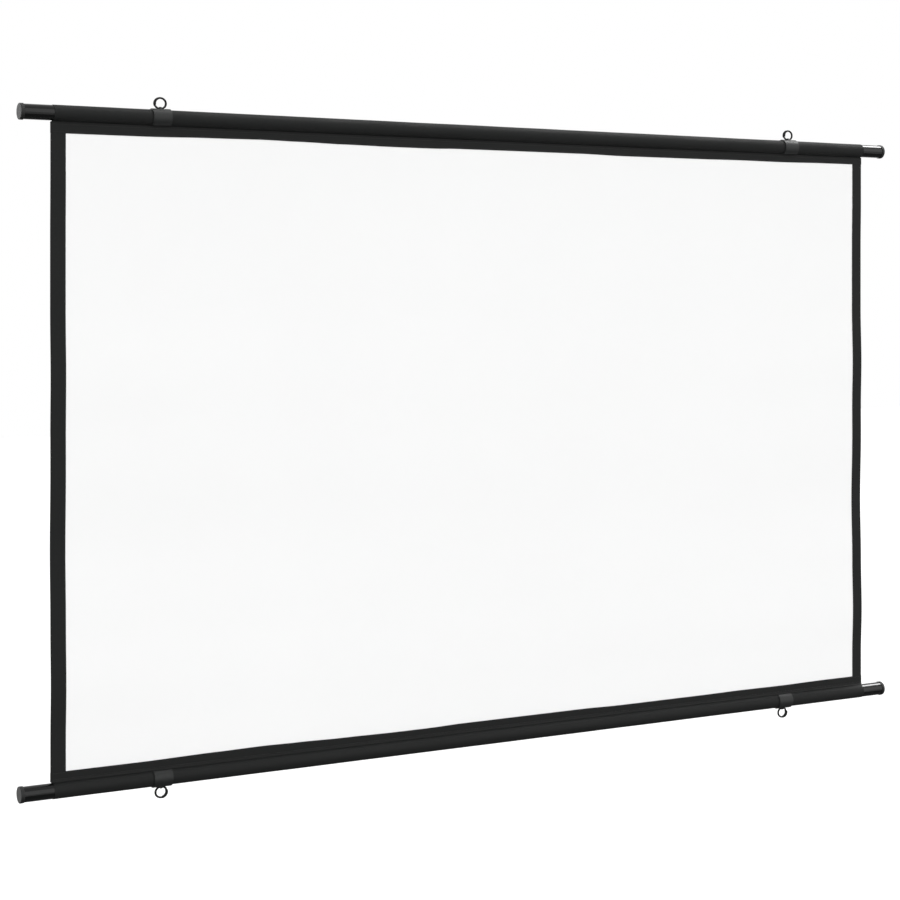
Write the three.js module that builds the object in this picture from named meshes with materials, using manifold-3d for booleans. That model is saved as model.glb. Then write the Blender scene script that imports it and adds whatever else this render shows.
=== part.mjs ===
// A hanging projection screen: a white picture sheet with black borders, held flat between two round bars.
// Each bar runs through a sewn pocket and carries two split clips, and each clip holds a hanging ring.
// Millimetres. +X runs along the bars, +Z is up, and the picture faces -Y.
// The origin lies midway between the two upper rings, where their hooks bear.

import * as THREE from 'three';
import { mergeVertices } from 'three/addons/utils/BufferGeometryUtils.js';
import Module from 'manifold-3d';

// Driving dimensions: the picture, its black surround and the bars.
const pictureWidth = 1440;
const pictureHeight = 900;
const leftBorderWidth = 22.5;
const rightBorderWidth = 20.2;
const bandHeight = 14.7;
const topBandTaper = 4.3;
const bottomBandTaper = 0.9;
const barOverhang = 45.4;
const tubeDiameter = 22;
const tubeWall = 1;

// Fabric thicknesses, and the clearances between neighbouring pieces.
const sheetThickness = 0.4;
const plyThickness = 0.3;
const fitGap = 0.3;
const sleeveGap = 0.25;
const cutOverrun = 5;

// Pockets and hems.
const pocketInset = 3;
const neckLength = 1.7;
const neckSpread = THREE.MathUtils.degToRad(6);
const footFillet = 4;
const seamHeight = 0.6;

// The slack of the sheet: how far its folds stand off the flat, and how far its picture edge wanders.
const foldDepth = 2.4;
const foldMiddleShare = 0.35;
const edgeWander = 2.1;

// End caps.
const capDiameter = 23.6;
const capHeadLength = 5.3;
const capEdgeRadius = 2;
const capFloor = 2.4;
const plugLength = 18;
const plugWall = 2;
const plugGap = 0.6;
const plugRibHeight = 0.35;
const plugRibWidth = 1.2;
const plugRibCount = 3;
const plugLead = 2;

// Clips, and the bridge that holds the ring.
const clipLength = 28.5;
const clipWall = 1.4;
const clipMouth = THREE.MathUtils.degToRad(50);
const clipEdgeBevel = 0.3;
const bridgeWidth = 3.4;
const bridgeWall = 0.75;
const bridgeFootWidth = 11;
const channelGap = 0.5;
const windowLength = 15;
const windowWidth = 8;

// How far each clip's middle lies inside the fabric's end. The lower two have been slid by hand.
const topClipInset = 164.35;
const bottomLeftClipInset = 165.65;
const bottomRightClipInset = 176.95;

// Hanging rings: one length of wire, bent round until its end lies outside its start.
const wireDiameter = 2.4;
const ringHole = 13.2;
const wireSink = 0.15;
const lapGap = 0.1;
const lapStart = THREE.MathUtils.degToRad(135);
const lapLength = THREE.MathUtils.degToRad(70);
const lapStep = THREE.MathUtils.degToRad(45);

// Facets of the round forms, and the stations of the sheet.
const roundSides = 48;
const capSides = 32;
const cornerSteps = 4;
const lipSteps = 5;
const wireSides = 8;
const ringSteps = 42;
const sheetColumns = 20;
const sheetRows = 22;

// Worked out from the sizes above.
const fabricWidth = leftBorderWidth + pictureWidth + rightBorderWidth;
const pictureLeft = leftBorderWidth - fabricWidth / 2;
const pictureRight = fabricWidth / 2 - rightBorderWidth;
const tubeRadius = tubeDiameter / 2;
const pocketInner = tubeRadius + sleeveGap;
const pocketOuter = pocketInner + plyThickness;
const hemDepth = pocketOuter + bandHeight;
const barSpacing = pictureHeight + 2 * hemDepth;
const barLength = fabricWidth + 2 * barOverhang;
const tubeLength = barLength - 2 * (capHeadLength + fitGap);
const clipInner = pocketOuter + sleeveGap;
const clipOuter = clipInner + clipWall;
const wireRadius = wireDiameter / 2;
const ringRadius = (ringHole + wireDiameter) / 2;
const ringPivot = clipOuter - wireSink;
const ringCentre = ringPivot + ringRadius;
const hookSeat = ringCentre + ringHole / 2;
const topAxis = -hookSeat;
const bottomAxis = topAxis - barSpacing;
const slitHalf = sheetThickness / 2 + fitGap;
const hemHalf = slitHalf + plyThickness;
const neckDepth = pocketOuter + neckLength;

// Where the folds lie, down the picture: share of its height, share of the fold depth towards the viewer.
const foldShares = [
  [0, 0],
  [0.045, 0.45],
  [0.16, -0.42],
  [0.28, -0.42],
  [0.385, 0.5],
  [0.47, -0.1],
  [0.53, 0],
  [0.653, -1],
  [0.77, 0],
  [0.87, 0.8],
  [0.96, 0.1],
  [1, 0],
];

// Where the picture's edge wanders, from left to right: share of the fabric's width, share of the wander upwards.
const wanderShares = [
  [0, 0],
  [0.09, 0],
  [0.17, 0.7],
  [0.22, 1],
  [0.26, 0.6],
  [0.31, -0.05],
  [0.375, -0.52],
  [0.41, -0.52],
  [0.45, 0],
  [0.6, 0],
  [0.655, -0.6],
  [0.76, -0.55],
  [0.82, -0.25],
  [0.88, -0.45],
  [0.94, 0],
  [1, 0],
];

// Finishes.
const glossBlack = { color: '#1c1d1e', roughness: 0.25, metalness: 0.6 };
const capGrey = { color: '#3a3a3b', roughness: 0.55, metalness: 0 };
const blackFabric = { color: '#1b1c1c', roughness: 0.85, metalness: 0 };
const whiteSheet = { color: '#f6f6f5', roughness: 0.8, metalness: 0 };
const clipGrey = { color: '#2f3233', roughness: 0.45, metalness: 0 };
const ringBlack = { color: '#222324', roughness: 0.35, metalness: 0.7 };

const wasm = await Module();
wasm.setup();

// A value read from a list of [place, value] shares, eased from one entry to the next.
function easedShare(shares, place) {
  for (let i = 1; i < shares.length; i += 1) {
    const [from, low] = shares[i - 1];
    const [to, high] = shares[i];
    if (place <= to) {
      return THREE.MathUtils.lerp(low, high, THREE.MathUtils.smoothstep(place, from, to));
    }
  }
  return shares[shares.length - 1][1];
}

// How high the picture's edge wanders at x, which its upper and lower edges do together.
function wanderAt(x) {
  return edgeWander * easedShare(wanderShares, x / fabricWidth + 0.5);
}

// The picture's upper edge at x: the black band above it narrows to the right.
function pictureTop(x) {
  return topAxis - hemDepth + (topBandTaper * x) / fabricWidth + wanderAt(x);
}

// The picture's lower edge at x: the black band below it widens to the right.
function pictureBottom(x) {
  return bottomAxis + hemDepth + (bottomBandTaper * x) / fabricWidth + wanderAt(x);
}

// How far the sheet stands off the flat at x, for a share of the picture's height from its top.
function foldAt(x, downShare) {
  const outwards = (2 * x) / fabricWidth;
  const calm = THREE.MathUtils.lerp(foldMiddleShare, 1, outwards * outwards);
  return -foldDepth * calm * easedShare(foldShares, downShare);
}

// Points of an arc in a section plane, both ends included.
function arc(centreX, centreY, radius, from, to, steps) {
  const points = [];
  for (let i = 0; i <= steps; i += 1) {
    const angle = THREE.MathUtils.lerp(from, to, i / steps);
    points.push(new THREE.Vector2(centreX + radius * Math.cos(angle), centreY + radius * Math.sin(angle)));
  }
  return points;
}

// The steps that a round form of the object gives to an arc of this angle.
function stepsOf(angle) {
  return Math.ceil((roundSides * Math.abs(angle)) / (2 * Math.PI));
}

// A section drawn in (Y, Z), run along X and centred on the origin.
function alongX(shape, length, bevel = 0) {
  const geometry = new THREE.ExtrudeGeometry(shape, {
    depth: length - 2 * bevel,
    bevelEnabled: bevel > 0,
    bevelThickness: bevel,
    bevelSize: bevel,
    bevelOffset: -bevel,
    bevelSegments: 1,
  });
  geometry.translate(0, 0, bevel - length / 2);
  const turn = new THREE.Matrix4().makeBasis(
    new THREE.Vector3(0, 1, 0),
    new THREE.Vector3(0, 0, 1),
    new THREE.Vector3(1, 0, 0),
  );
  return geometry.applyMatrix4(turn);
}

// An outline drawn in (X, Z), given a depth along Y and centred on the origin.
function throughY(points, depth) {
  const geometry = new THREE.ExtrudeGeometry(new THREE.Shape(points), { depth, bevelEnabled: false });
  geometry.translate(0, 0, -depth / 2);
  return geometry.rotateX(Math.PI / 2);
}

// A geometry as a solid that can be cut and joined, and back again.
function toSolid(geometry) {
  const bare = geometry.clone();
  bare.deleteAttribute('normal');
  bare.deleteAttribute('uv');
  const merged = mergeVertices(bare);
  const vertProperties = new Float32Array(merged.attributes.position.array);
  const triVerts = new Uint32Array(merged.index.array);
  return new wasm.Manifold(new wasm.Mesh({ numProp: 3, vertProperties, triVerts }));
}

function toGeometry(solid) {
  const mesh = solid.getMesh();
  const geometry = new THREE.BufferGeometry();
  geometry.setAttribute('position', new THREE.BufferAttribute(new Float32Array(mesh.vertProperties), 3));
  geometry.setIndex(new THREE.BufferAttribute(new Uint32Array(mesh.triVerts), 1));
  geometry.computeVertexNormals();
  return geometry;
}

// A skin over rows of points: each row is a closed section, and the first and last rows are closed by a face.
function loft(rows, capFaces) {
  const count = rows[0].length;
  const positions = rows.flat().flatMap((point) => point.toArray());
  const index = [];
  for (let row = 0; row < rows.length - 1; row += 1) {
    for (let i = 0; i < count; i += 1) {
      const a = row * count + i;
      const b = row * count + ((i + 1) % count);
      index.push(a, b, b + count, a, b + count, a + count);
    }
  }
  const last = (rows.length - 1) * count;
  for (const [a, b, c] of capFaces) {
    index.push(a, c, b, last + a, last + b, last + c);
  }
  const geometry = new THREE.BufferGeometry();
  geometry.setAttribute('position', new THREE.Float32BufferAttribute(positions, 3));
  geometry.setIndex(index);
  geometry.computeVertexNormals();
  return geometry;
}

// The columns of the sheet: one at each edge, one under each border's inner edge, and even ones between.
function columnPlaces() {
  const edge = fabricWidth / 2 - plyThickness - fitGap;
  const places = [-edge];
  for (let i = 0; i <= sheetColumns; i += 1) {
    places.push(THREE.MathUtils.lerp(pictureLeft, pictureRight, i / sheetColumns));
  }
  places.push(edge);
  return places;
}

// The sheet, row by row from its tucked upper end to its tucked lower end, so its folds and edges run true.
function sheetGeometry() {
  const places = columnPlaces();
  const tuckTop = topAxis - neckDepth - fitGap;
  const tuckBottom = bottomAxis + neckDepth + seamHeight + fitGap;
  const section = (heightAt, downShare) => {
    const points = [];
    for (const x of places) {
      const y = foldAt(x, downShare) - sheetThickness / 2;
      points.push(new THREE.Vector3(x, y, heightAt(x)));
    }
    for (const x of places.toReversed()) {
      const y = foldAt(x, downShare) + sheetThickness / 2;
      points.push(new THREE.Vector3(x, y, heightAt(x)));
    }
    return points;
  };
  const rows = [section(() => tuckBottom, 1)];
  for (let i = sheetRows; i >= 0; i -= 1) {
    const downShare = i / sheetRows;
    rows.push(section((x) => THREE.MathUtils.lerp(pictureTop(x), pictureBottom(x), downShare), downShare));
  }
  rows.push(section(() => tuckTop, 0));
  const capFaces = [];
  const count = 2 * places.length;
  for (let i = 0; i < places.length - 1; i += 1) {
    capFaces.push([i, i + 1, count - 2 - i], [i, count - 2 - i, count - 1 - i]);
  }
  return loft(rows, capFaces);
}

// A side border: one tape folded round the sheet's edge, from hem to hem, following the sheet's folds.
// side is -1 on the left and 1 on the right.
function borderGeometry(side) {
  const outer = (side * fabricWidth) / 2;
  const fold = outer - side * plyThickness;
  const inner = side < 0 ? pictureLeft : pictureRight;
  const corners = [
    [inner, -hemHalf],
    [outer, -hemHalf],
    [outer, hemHalf],
    [inner, hemHalf],
    [inner, slitHalf],
    [fold, slitHalf],
    [fold, -slitHalf],
    [inner, -slitHalf],
  ];
  if (side < 0) {
    corners.reverse();
  }
  const rows = [];
  for (let i = sheetRows; i >= 0; i -= 1) {
    const downShare = i / sheetRows;
    rows.push(
      corners.map(([x, y]) => {
        const top = pictureTop(x) - fitGap;
        const bottom = pictureBottom(x) + fitGap;
        return new THREE.Vector3(x, y + foldAt(x, downShare), THREE.MathUtils.lerp(top, bottom, downShare));
      }),
    );
  }
  const faces = THREE.ShapeUtils.triangulateShape(
    corners.map(([x, y]) => new THREE.Vector2(x, y)),
    [],
  );
  return loft(rows, faces);
}

// The places along a hem at which its wandering edge has a point.
function hemPlaces() {
  const places = [];
  const steps = 2 * sheetColumns;
  for (let i = 0; i <= steps; i += 1) {
    places.push(THREE.MathUtils.lerp(pictureLeft, pictureRight, i / steps));
  }
  return places;
}

// What is cut from a hem beyond the picture's edge. side is 1 below an upper hem and -1 above a lower one.
function pictureCut(axis, edgeAt, side) {
  const far = axis - side * (2 * hemDepth + cutOverrun);
  const left = -fabricWidth / 2 - cutOverrun;
  const points = [new THREE.Vector2(left, far)];
  points.push(new THREE.Vector2(-left, far));
  for (const x of hemPlaces().toReversed()) {
    points.push(new THREE.Vector2(x, edgeAt(x)));
  }
  points[2].x = -left;
  points[points.length - 1].x = left;
  return toSolid(throughY(points, 4 * tubeDiameter));
}

// What is cut from a hem at one end, so that the pocket is a little shorter than the fabric, with a round corner.
// side is -1 at the left end, and up is 1 on the upper bar.
function endCut(axis, side, up) {
  const edge = fabricWidth / 2;
  const out = edge + cutOverrun;
  const cornerDepth = neckDepth + pocketInset;
  const outline = [new THREE.Vector2(edge - pocketInset, tubeDiameter)];
  outline.push(...arc(edge - pocketInset, -cornerDepth, pocketInset, Math.PI / 2, 0, cornerSteps));
  outline.push(new THREE.Vector2(out, -cornerDepth));
  outline.push(new THREE.Vector2(out, tubeDiameter));
  const placed = outline.map((point) => new THREE.Vector2(side * point.x, axis + up * point.y));
  return toSolid(throughY(placed, 4 * tubeDiameter));
}

// The upper pocket: one strip folded round the bar, whose two plies come together below it and hold the sheet.
function topPocketGeometry() {
  const down = -Math.PI / 2;
  const from = down + neckSpread;
  const to = down + 2 * Math.PI - neckSpread;
  const steps = stepsOf(to - from);
  const far = -(hemDepth + tubeDiameter);
  const strip = [new THREE.Vector2(hemHalf, far)];
  strip.push(new THREE.Vector2(hemHalf, -neckDepth));
  strip.push(...arc(0, 0, pocketOuter, from, to, steps));
  strip.push(new THREE.Vector2(-hemHalf, -neckDepth));
  strip.push(new THREE.Vector2(-hemHalf, far));
  strip.push(new THREE.Vector2(-slitHalf, far));
  strip.push(new THREE.Vector2(-slitHalf, -neckDepth));
  strip.push(...arc(0, 0, pocketInner, to, from, steps));
  strip.push(new THREE.Vector2(slitHalf, -neckDepth));
  strip.push(new THREE.Vector2(slitHalf, far));
  const geometry = alongX(new THREE.Shape(strip), fabricWidth).translate(0, 0, topAxis);
  return toGeometry(
    toSolid(geometry)
      .subtract(pictureCut(topAxis, pictureTop, 1))
      .subtract(endCut(topAxis, -1, 1))
      .subtract(endCut(topAxis, 1, 1)),
  );
}

// The lower hem: two plies round the sheet's lower end, sewn together just above the bar. Each ply runs out over
// the pocket below in a fillet, which leaves the flat of the hem and ends along the pocket.
function bottomHemGeometry() {
  const up = Math.PI / 2;
  const footRadius = pocketOuter + fitGap;
  const filletPlace = hemHalf + footFillet;
  const filletReach = footRadius + plyThickness + footFillet;
  const filletHeight = Math.sqrt(filletReach * filletReach - filletPlace * filletPlace);
  const footSpread = Math.asin(filletPlace / filletReach);
  const filletSteps = stepsOf(up - footSpread);
  const far = hemDepth + tubeDiameter;
  const seamTop = neckDepth + seamHeight;
  const outline = arc(0, 0, footRadius, up + footSpread, up - footSpread, stepsOf(2 * footSpread));
  outline.push(...arc(filletPlace, filletHeight, footFillet, -up - footSpread, -Math.PI, filletSteps));
  outline.push(new THREE.Vector2(hemHalf, far));
  outline.push(new THREE.Vector2(slitHalf, far));
  outline.push(new THREE.Vector2(slitHalf, seamTop));
  outline.push(new THREE.Vector2(-slitHalf, seamTop));
  outline.push(new THREE.Vector2(-slitHalf, far));
  outline.push(new THREE.Vector2(-hemHalf, far));
  outline.push(...arc(-filletPlace, filletHeight, footFillet, 0, footSpread - up, filletSteps));
  const geometry = alongX(new THREE.Shape(outline), fabricWidth).translate(0, 0, bottomAxis);
  return toGeometry(
    toSolid(geometry)
      .subtract(pictureCut(bottomAxis, pictureBottom, -1))
      .subtract(endCut(bottomAxis, -1, -1))
      .subtract(endCut(bottomAxis, 1, -1)),
  );
}

// A round tube along X.
function pipe(outerRadius, innerRadius, length) {
  const shape = new THREE.Shape(arc(0, 0, outerRadius, 0, 2 * Math.PI, roundSides).slice(1));
  shape.holes.push(new THREE.Path(arc(0, 0, innerRadius, 0, 2 * Math.PI, roundSides).slice(1)));
  return alongX(shape, length);
}

// An end cap: a head with a rounded rim and a flat face, and a hollow ribbed plug that grips inside the tube.
// It is turned on the X axis, with its flat face at x = 0 and its plug towards +X.
function capGeometry() {
  const headRadius = capDiameter / 2;
  const ribRadius = tubeRadius - tubeWall - plugGap + plugRibHeight;
  const plugRadius = tubeRadius - tubeWall - plugGap;
  const boreRadius = plugRadius - plugWall;
  const plugEnd = capHeadLength + plugLength;
  const rim = arc(headRadius - capEdgeRadius, capEdgeRadius, capEdgeRadius, -Math.PI / 2, 0, cornerSteps);
  const profile = [new THREE.Vector2(0, 0), ...rim];
  profile.push(new THREE.Vector2(headRadius, capHeadLength));
  profile.push(new THREE.Vector2(plugRadius, capHeadLength));
  const ribPitch = (plugLength - plugLead) / (plugRibCount + 1);
  for (let i = 1; i <= plugRibCount; i += 1) {
    const place = capHeadLength + i * ribPitch;
    profile.push(new THREE.Vector2(plugRadius, place - plugRibWidth / 2));
    profile.push(new THREE.Vector2(ribRadius, place - plugRibWidth / 2));
    profile.push(new THREE.Vector2(plugRadius, place + plugRibWidth / 2));
  }
  profile.push(new THREE.Vector2(plugRadius, plugEnd - plugLead));
  profile.push(new THREE.Vector2(plugRadius - plugRibHeight, plugEnd));
  profile.push(new THREE.Vector2(boreRadius, plugEnd));
  profile.push(new THREE.Vector2(boreRadius, capFloor));
  profile.push(new THREE.Vector2(0, capFloor));
  return new THREE.LatheGeometry(profile, capSides).rotateZ(-Math.PI / 2);
}

// A split clip round the pocket, with its mouth down and its crown up, seen from the bar's axis.
// A window in the crown leaves room for the ring's wire, and a bridge over the window holds the wire in.
function clipGeometry() {
  const down = -Math.PI / 2;
  const lipRadius = clipWall / 2;
  const middle = clipInner + lipRadius;
  const lipAngle = lipRadius / middle;
  const from = down + clipMouth / 2 + lipAngle;
  const to = down + 2 * Math.PI - clipMouth / 2 - lipAngle;
  const steps = stepsOf(to - from);
  const lip = (angle, turn) =>
    arc(middle * Math.cos(angle), middle * Math.sin(angle), lipRadius, angle, angle + turn, lipSteps);
  const outline = arc(0, 0, clipOuter, from, to, steps);
  outline.push(...lip(to, Math.PI).slice(1, -1));
  outline.push(...arc(0, 0, clipInner, to, from, steps));
  outline.push(...lip(from, -Math.PI).slice(1, -1).reverse());
  const shell = toSolid(alongX(new THREE.Shape(outline), clipLength, clipEdgeBevel));

  const halfWindow = windowWidth / 2;
  const straight = windowLength / 2 - halfWindow;
  const slot = new THREE.Shape([
    ...arc(straight, 0, halfWindow, -Math.PI / 2, Math.PI / 2, 2 * cornerSteps),
    ...arc(-straight, 0, halfWindow, Math.PI / 2, (3 * Math.PI) / 2, 2 * cornerSteps),
  ]);
  const slotGeometry = new THREE.ExtrudeGeometry(slot, { depth: clipOuter, bevelEnabled: false });
  const window = toSolid(slotGeometry.translate(0, 0, clipInner / 2));

  const channelRadius = wireRadius + channelGap;
  const bridgeRadius = channelRadius + bridgeWall;
  const foot = bridgeFootWidth / 2;
  const footHeight = Math.sqrt(clipOuter * clipOuter - foot * foot) - clipEdgeBevel;
  const hump = [new THREE.Vector2(-foot, footHeight), new THREE.Vector2(-foot, footHeight - clipWall)];
  hump.push(new THREE.Vector2(foot, footHeight - clipWall), new THREE.Vector2(foot, footHeight));
  hump.push(...arc(0, ringPivot, bridgeRadius, Math.PI / 4, (3 * Math.PI) / 4, 2 * cornerSteps));
  const bridge = toSolid(alongX(new THREE.Shape(hump), bridgeWidth));
  const channelShape = new THREE.Shape(arc(0, ringPivot, channelRadius, 0, 2 * Math.PI, 4 * cornerSteps).slice(1));
  const channel = toSolid(alongX(channelShape, bridgeWidth + 2 * cutOverrun));
  const boreShape = new THREE.Shape(arc(0, 0, clipInner, 0, 2 * Math.PI, roundSides).slice(1));
  const bore = toSolid(alongX(boreShape, bridgeWidth + 2 * cutOverrun));
  return toGeometry(shell.subtract(window).add(bridge.subtract(channel).subtract(bore)));
}

// The line that a ring's wire follows, in the plane y = 0, seen from the bar's axis.
class RingLine extends THREE.Curve {
  getPoint(t, target = new THREE.Vector3()) {
    const turned = t * (2 * Math.PI + lapLength);
    const outwards = THREE.MathUtils.smoothstep(turned, 2 * Math.PI - lapStep, 2 * Math.PI);
    const radius = ringRadius + outwards * (wireDiameter + lapGap);
    const angle = lapStart + turned;
    return target.set(radius * Math.cos(angle), 0, ringCentre + radius * Math.sin(angle));
  }
}

function ringGeometry() {
  const section = new THREE.Shape(arc(0, 0, wireRadius, 0, 2 * Math.PI, wireSides).slice(1));
  return new THREE.ExtrudeGeometry(section, { steps: ringSteps, extrudePath: new RingLine() });
}

const screen = new THREE.Group();

function addPiece(parent, name, geometry, finish) {
  const mesh = new THREE.Mesh(geometry, new THREE.MeshStandardMaterial(finish));
  mesh.name = name;
  parent.add(mesh);
  return mesh;
}

// A bar: its tube, with a cap driven into each end.
function addBar(level, axis) {
  const bar = new THREE.Group();
  bar.position.z = axis;
  screen.add(bar);
  addPiece(bar, `${level}_tube`, pipe(tubeRadius, tubeRadius - tubeWall, tubeLength), glossBlack);
  for (const [place, side] of [['left', -1], ['right', 1]]) {
    const cap = addPiece(bar, `${level}_${place}_end_cap`, capGeometry(), capGrey);
    cap.position.x = (side * barLength) / 2;
    cap.rotation.z = side < 0 ? 0 : Math.PI;
  }
}

// The two clips of a bar with their rings. The lower ones are the same pieces turned over, rings down.
function addHangers(level, axis, leftInset, rightInset) {
  for (const [side, sign, inset] of [['left', -1, leftInset], ['right', 1, rightInset]]) {
    const hanger = new THREE.Group();
    hanger.position.set(sign * (fabricWidth / 2 - inset), 0, axis);
    hanger.rotation.y = level === 'top' ? 0 : Math.PI;
    screen.add(hanger);
    addPiece(hanger, `${level}_${side}_clip`, clipGeometry(), clipGrey);
    addPiece(hanger, `${level}_${side}_ring`, ringGeometry(), ringBlack);
  }
}

addBar('top', topAxis);
addBar('bottom', bottomAxis);
addPiece(screen, 'top_pocket', topPocketGeometry(), blackFabric);
const lowerPocket = pipe(pocketOuter, pocketInner, fabricWidth - 2 * pocketInset);
addPiece(screen, 'bottom_pocket', lowerPocket, blackFabric).position.z = bottomAxis;
addPiece(screen, 'bottom_hem', bottomHemGeometry(), blackFabric);
addPiece(screen, 'projection_sheet', sheetGeometry(), whiteSheet);
addPiece(screen, 'left_border', borderGeometry(-1), blackFabric);
addPiece(screen, 'right_border', borderGeometry(1), blackFabric);
addHangers('top', topAxis, topClipInset, topClipInset);
addHangers('bottom', bottomAxis, bottomLeftClipInset, bottomRightClipInset);

export default screen;
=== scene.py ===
import math

import bmesh
import bpy
from mathutils import Matrix, Vector, noise


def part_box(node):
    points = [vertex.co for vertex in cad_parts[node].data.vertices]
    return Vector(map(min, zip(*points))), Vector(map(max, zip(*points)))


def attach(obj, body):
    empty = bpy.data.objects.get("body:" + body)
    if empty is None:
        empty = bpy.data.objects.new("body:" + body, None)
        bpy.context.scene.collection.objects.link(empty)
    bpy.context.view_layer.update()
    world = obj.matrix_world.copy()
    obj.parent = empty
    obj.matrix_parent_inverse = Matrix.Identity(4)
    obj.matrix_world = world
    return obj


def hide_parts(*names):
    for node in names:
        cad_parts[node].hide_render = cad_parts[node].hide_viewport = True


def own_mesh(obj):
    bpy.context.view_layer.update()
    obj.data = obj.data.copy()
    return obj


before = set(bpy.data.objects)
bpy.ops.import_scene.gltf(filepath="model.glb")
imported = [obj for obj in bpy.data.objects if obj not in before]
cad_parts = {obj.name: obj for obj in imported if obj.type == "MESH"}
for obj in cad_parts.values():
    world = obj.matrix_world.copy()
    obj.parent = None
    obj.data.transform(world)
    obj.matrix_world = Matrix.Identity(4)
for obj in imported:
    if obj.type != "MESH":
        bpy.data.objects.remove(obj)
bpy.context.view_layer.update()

bl_info = {
    "name": "Hanging projection screen",
    "version": (1, 0, 0),
    "blender": (4, 5, 0),
    "location": "View3D > Sidebar > Projection screen",
    "description": "Models a white picture sheet between two bars, with its clips, rings and studio",
    "category": "Object",
}

# The screen hangs with its bars along X. Its picture faces -Y, and all lengths are in metres.


def middle_of(node):
    low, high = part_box(node)
    return (low + high) / 2


def half_size_of(node):
    low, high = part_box(node)
    return (high - low) / 2


# Places and sizes of the construction, read from the frame.
TOP_AXIS = middle_of("top_tube").z
BOTTOM_AXIS = middle_of("bottom_tube").z
TUBE_RADIUS = half_size_of("top_tube").z
TUBE_HALF = half_size_of("top_tube").x
BAR_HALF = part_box("top_right_end_cap")[1].x
POCKET_RADIUS = half_size_of("bottom_pocket").z
POCKET_HALF = half_size_of("bottom_pocket").x
FABRIC_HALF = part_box("right_border")[1].x
PICTURE_ENDS = {-1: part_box("left_border")[1].x, 1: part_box("right_border")[0].x}
SHEET_HALF = half_size_of("projection_sheet").x
SHEET_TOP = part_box("projection_sheet")[1].z
SHEET_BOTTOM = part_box("projection_sheet")[0].z
CLIP_LENGTH = 2 * half_size_of("top_left_clip").x
SIDES = {"left": -1, "right": 1}
LEVELS = {"top": TOP_AXIS, "bottom": BOTTOM_AXIS}

# Facets of the round forms, and steps of the fabric's bends and seams.
TUBE_SIDES = 96
CAP_SIDES = 64
CLIP_STEPS = 96
BORE_SIDES = 128
CHANNEL_SIDES = 40
WIRE_SIDES = 20
STITCH_SIDES = 6
CARD_SIDES = 64
UPPER_POCKET_STEPS = 72
LOWER_POCKET_STEPS = 80
BAND_STEPS = 9
FILLET_STEPS = 9
SHOULDER_STEPS = 4
BORDER_STEPS = 10
SEAM_STEPS = 120

# The waves of puckers and creases: share of the height, length along the bar, length across the
# puckers or tightness round the creases, and shift of the noise.
PUCKER_WAVES = ((1, 0.011, 0.012, 0), (0.5, 0.034, 0.03, 5))
CREASE_WAVES = ((1, 0.07, 1.6, 0), (0.4, 0.02, 3, 7))
PUCKER_LEVEL = 0.25
FAR_PUCKER_SHARE = 0.3

# Roundings of a clip's lips and of its window's ends, as shares of the wall and of the half width.
LIP_SHARE = 0.46
WINDOW_SHARE = 0.98

# The bridge's arch, from its foot to near its top in degrees, and its steps.
ARCH = (45, 84)
ARCH_STEPS = 8

# How far a stitch's ends dip, and how thick they are, as shares of the thread's diameter.
STITCH_DIP = 0.6
STITCH_END = 0.5

# Where a side seam starts and ends, as shares of the picture's height.
SIDE_SEAM = (0.004, 0.996)

# Up to which angle in degrees the faces of fabric are shaded as one.
FABRIC_SMOOTH = 60

# The camera's film width in millimetres, and in metres how far it sees, the floor's side and how
# far off the lights stand.
FILM_WIDTH = 36
SEEN_TO = 100
FLOOR_SIDE = 60
LIGHTS_AWAY = 4

# Where the folds lie, down the picture: share of its height, share of the fold depth to the viewer.
FOLD_SHARES = (
    (0, 0), (0.065, 0), (0.16, -0.42), (0.28, -0.42), (0.385, 0.5), (0.47, -0.1),
    (0.53, 0), (0.653, -1), (0.77, 0), (0.87, 0.8), (0.95, 0), (1, 0),
)

# Where the picture's edge wanders, left to right: share of the width, share of the wander upwards.
WANDER_SHARES = (
    (0, 0), (0.09, 0), (0.17, 0.7), (0.22, 1), (0.26, 0.6), (0.31, -0.05), (0.375, -0.52),
    (0.41, -0.52), (0.45, 0), (0.6, 0), (0.655, -0.6), (0.76, -0.55), (0.82, -0.25), (0.88, -0.45),
    (0.94, 0), (1, 0),
)

# The lights: name, strength, where it comes from and how wide it looks in degrees.
LIGHTS = (
    ("front", 1.75, (0.46, -0.88, 0.03), 85),
    ("side", 1.27, (-0.5, -0.75, 0.43), 45),
    ("high", 2.2, (0.66, 0.07, 0.745), 22),
    ("back", 1.3, (-0.5, 0.8, 0.33), 40),
)


def setting(kind, **fixed):
    """A maker of properties of one kind, each with a name, a description and a default."""

    def make(name, description, default):
        return kind(name=name, description=description, default=default, **fixed)

    return make


number = setting(bpy.props.FloatProperty)
length = setting(bpy.props.FloatProperty, precision=5, unit="LENGTH")
focal_length = setting(bpy.props.FloatProperty, unit="CAMERA")
count = setting(bpy.props.IntProperty, min=1)
colour = setting(bpy.props.FloatVectorProperty, size=3, min=0, max=1, subtype="COLOR")
direction = setting(bpy.props.FloatVectorProperty, size=3, subtype="DIRECTION")


def angle(name, description, degrees):
    """A property that holds an angle, whose default is given in degrees."""
    make = setting(bpy.props.FloatProperty, subtype="ANGLE")
    return make(name, description, math.radians(degrees))


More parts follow.
